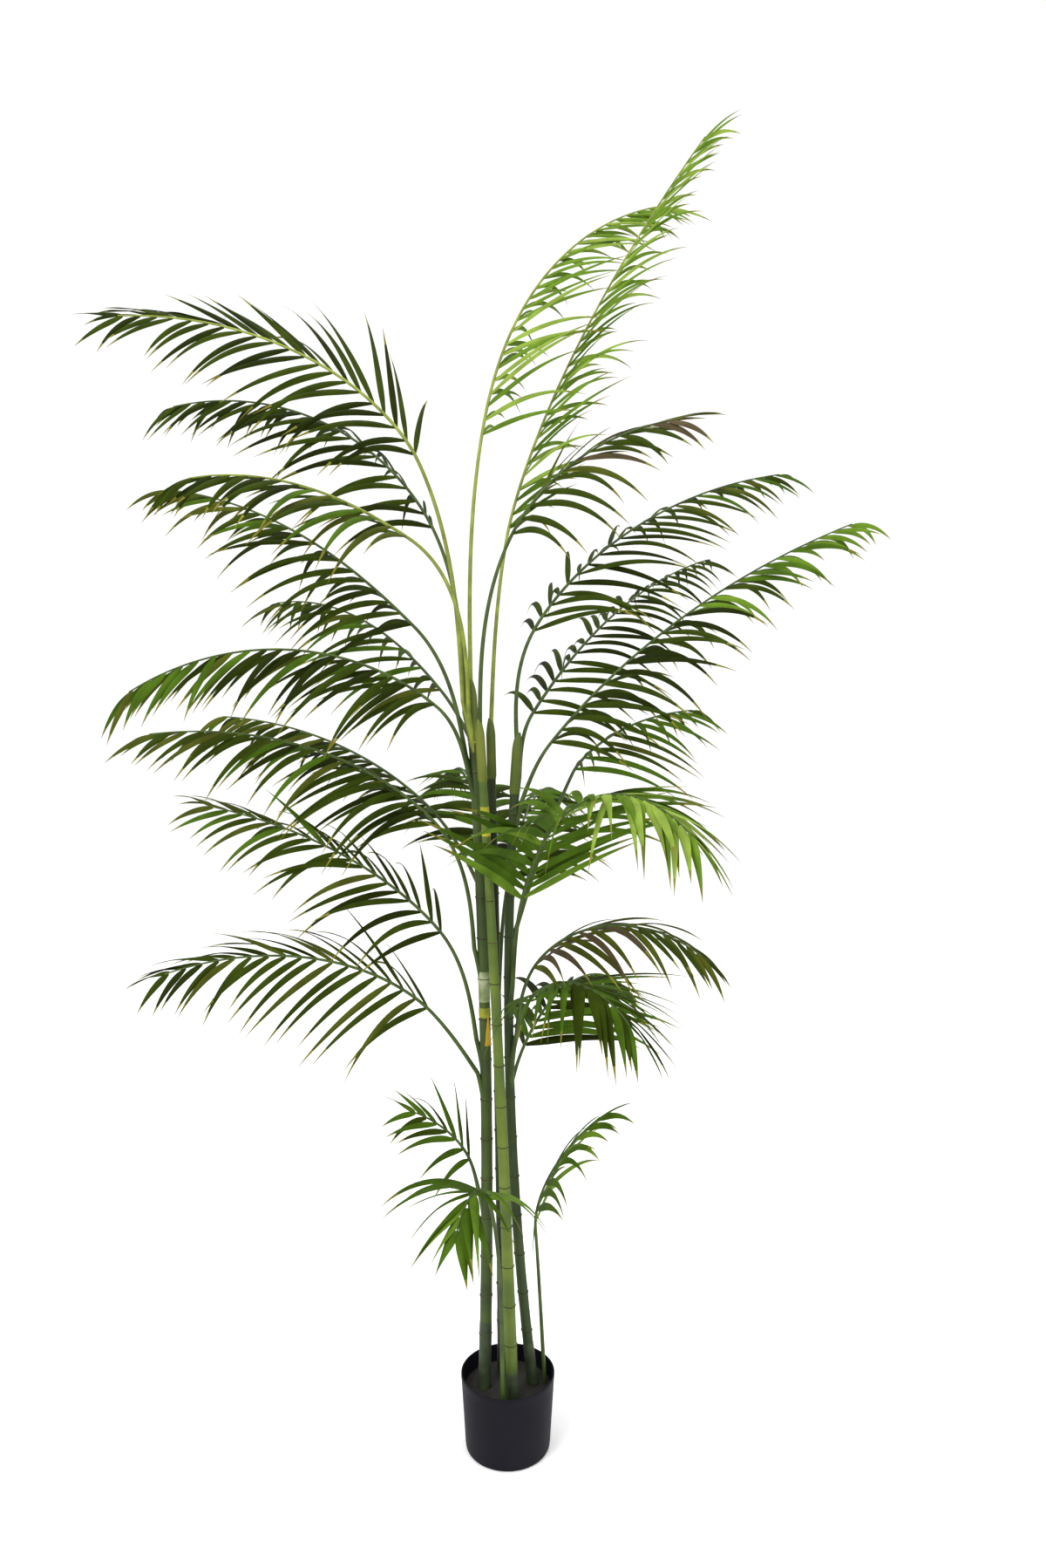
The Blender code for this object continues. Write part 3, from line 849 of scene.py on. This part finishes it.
def build_sheaths():
    """The sheaths of the upper stalks, which wrap the canes' ends and draw in round the stalks."""
    pile = Pile()
    for cane in CANES:
        height = cane.height + SHEATH_TOP - SHEATH_LENGTH * np.linspace(1, 0, SHEATH_ROWS)
        drawn = np.clip((height - cane.height) / SHEATH_TOP, 0, 1)
        radius = cane_radius(cane, np.minimum(height, cane.height)) + SHEATH_WALL
        radius *= 1 - SHEATH_DRAW * drawn ** SHEATH_DRAW_CURVE
        radius[0] -= SHEATH_WALL * SHEATH_EDGE_CUT
        add_sleeve(pile, cane, height, radius)
    material = finish("sheath_yellow", SHEATH_TONES, 0.5, scale=12, specular=0.2)
    settle(pile.piece("cane_sheaths", material))


# Pot and filling

def pot_radius(height):
    return POT_BASE_RADIUS + (POT_RIM_RADIUS - POT_BASE_RADIUS) * height / POT_HEIGHT


def arc(centre, radius, start, end):
    """Points of radius and height on an arc, angles in degrees from outward."""
    angles = [math.radians(start + (end - start) * step / ARC_STEPS) for step in range(ARC_STEPS + 1)]
    return [(centre[0] + radius * math.cos(angle), centre[1] + radius * math.sin(angle)) for angle in angles]


def pot_profile():
    """The pot's outline as radius and height, from the underside's middle up, over the rim and in."""
    edge = POT_EDGE_RADIUS
    lip = POT_WALL / 2
    band = POT_HEIGHT - RIM_BAND_HEIGHT
    foot_ring = POT_BASE_RADIUS - FOOT_RING_WIDTH
    profile = [(AXIS_RADIUS, UNDERSIDE_RISE), (foot_ring - FOOT_RING_SLOPE, UNDERSIDE_RISE), (foot_ring, 0)]
    profile += arc((pot_radius(0) - edge, edge), edge, -90, 0)
    profile += [(pot_radius(z), z) for z in np.linspace(edge * 2, band - RIM_BAND_SLOPE, POT_SIDE_ROWS)]
    profile += [(pot_radius(band) + RIM_BAND_STEP, band)]
    profile += arc((POT_RIM_RADIUS - lip, POT_HEIGHT - lip), lip, 0, 180)
    inside = np.linspace(POT_HEIGHT - POT_INSIDE_DROP, POT_FLOOR_TOP, POT_INSIDE_ROWS)
    profile += [(pot_radius(z) - POT_WALL, z) for z in inside]
    return np.array(profile + [(AXIS_RADIUS, POT_FLOOR_TOP)])


def build_pot():
    profile = pot_profile()
    pile = Pile()
    pile.add(level_rings(profile[:, 1:] * UP, profile[:, 0], TURN_STEPS))
    material = finish("pot_plastic", POT_TONES, 0.55, scale=9, bump=0.08, bump_scale=900, specular=0.08)
    settle(pile.piece("pot_shell", material, POT_SMOOTH_ANGLE), ["pot"])


def build_filling():
    """The cement, with an uneven top that falls off at the pot's wall."""
    rng = np.random.default_rng(SEED)
    inset = POT_WALL + FILL_GAP
    radii = np.linspace(AXIS_RADIUS, pot_radius(FILL_TOP) - inset, FILL_RINGS)
    waves = rng.normal(0, 1, (FILL_WAVES, 2)) * FILL_WAVE_NUMBER
    phases = rng.uniform(0, math.tau, FILL_WAVES)
    top = level_rings(np.zeros((FILL_RINGS, 3)), radii, TURN_STEPS)
    x, y = top[..., 0], top[..., 1]
    rough = sum(np.sin(kx * x + ky * y + phase) for (kx, ky), phase in zip(waves, phases)) / FILL_WAVES
    rough = rough + rng.normal(0, FILL_GRAIN, x.shape)
    top[..., 2] = FILL_TOP - FILL_ROUGHNESS * (1 + FILL_UNEVENNESS * rough)
    top[-1, :, 2] = FILL_TOP - FILL_EDGE_DROP
    base = level_rings(FILL_BOTTOM * UP[None], np.array([pot_radius(FILL_BOTTOM) - inset]), TURN_STEPS)
    pile = Pile()
    pile.add(np.concatenate([base, top[::-1]]))
    material = finish("cement", CEMENT_TONES, 0.9, scale=60, bump=0.6, bump_scale=350)
    settle(pile.piece("cement_fill", material), ["filling"])


# Stage

def build_floor():
    bpy.ops.mesh.primitive_circle_add(vertices=FLOOR_STEPS, radius=FLOOR_RADIUS, fill_type="NGON",
                                      location=(0, 0, 0))
    floor = bpy.context.object
    floor.name = "floor"
    paper = bpy.data.materials.new("floor_paper")
    paper.use_nodes = True
    shader = paper.node_tree.nodes["Principled BSDF"]
    shader.inputs["Base Color"].default_value = (FLOOR_WHITE, FLOOR_WHITE, FLOOR_WHITE, 1)
    shader.inputs["Roughness"].default_value = 0.9
    shader.inputs["Specular IOR Level"].default_value = 0.1
    floor.data.materials.append(paper)


def build_world():
    world = bpy.data.worlds.new("studio")
    world.use_nodes = True
    world.node_tree.nodes["Background"].inputs["Color"].default_value = (1, 1, 1, 1)
    world.node_tree.nodes["Background"].inputs["Strength"].default_value = WORLD_STRENGTH
    bpy.context.scene.world = world


def build_light(light):
    lamp_data = bpy.data.lights.new(light.name, "AREA")
    lamp_data.energy = light.power
    lamp_data.shape = "DISK"
    lamp_data.size = light.size
    lamp = bpy.data.objects.new(light.name, lamp_data)
    lamp.location = light.place
    aim = bpy.data.objects.new(light.name + "_aim", None)
    aim.location = LIGHT_AIM
    bpy.context.scene.collection.objects.link(aim)
    bpy.context.scene.collection.objects.link(lamp)
    track = lamp.constraints.new("TRACK_TO")
    track.target = aim
    track.track_axis = "TRACK_NEGATIVE_Z"
    track.up_axis = "UP_Y"


def build_camera():
    lens = bpy.data.cameras.new("camera")
    lens.sensor_width = SENSOR
    lens.lens = SENSOR * FOCAL_PIXELS / PHOTO_HEIGHT
    lens.clip_start = CLIP_START
    camera = bpy.data.objects.new("camera", lens)
    camera.location = CAMERA_PLACE
    camera.rotation_euler = (math.radians(RIGHT_ANGLE - CAMERA_PITCH), 0, 0)
    bpy.context.scene.collection.objects.link(camera)
    bpy.context.scene.camera = camera


build_camera()
build_floor()
build_world()
for light in LIGHTS:
    build_light(light)
build_pot()
build_filling()
for cane in CANES:
    build_cane(cane)
build_bands()
build_sheath_tip()
build_scars()
build_sheaths()
build_fronds()
bpy.context.scene.view_settings.view_transform = "Standard"
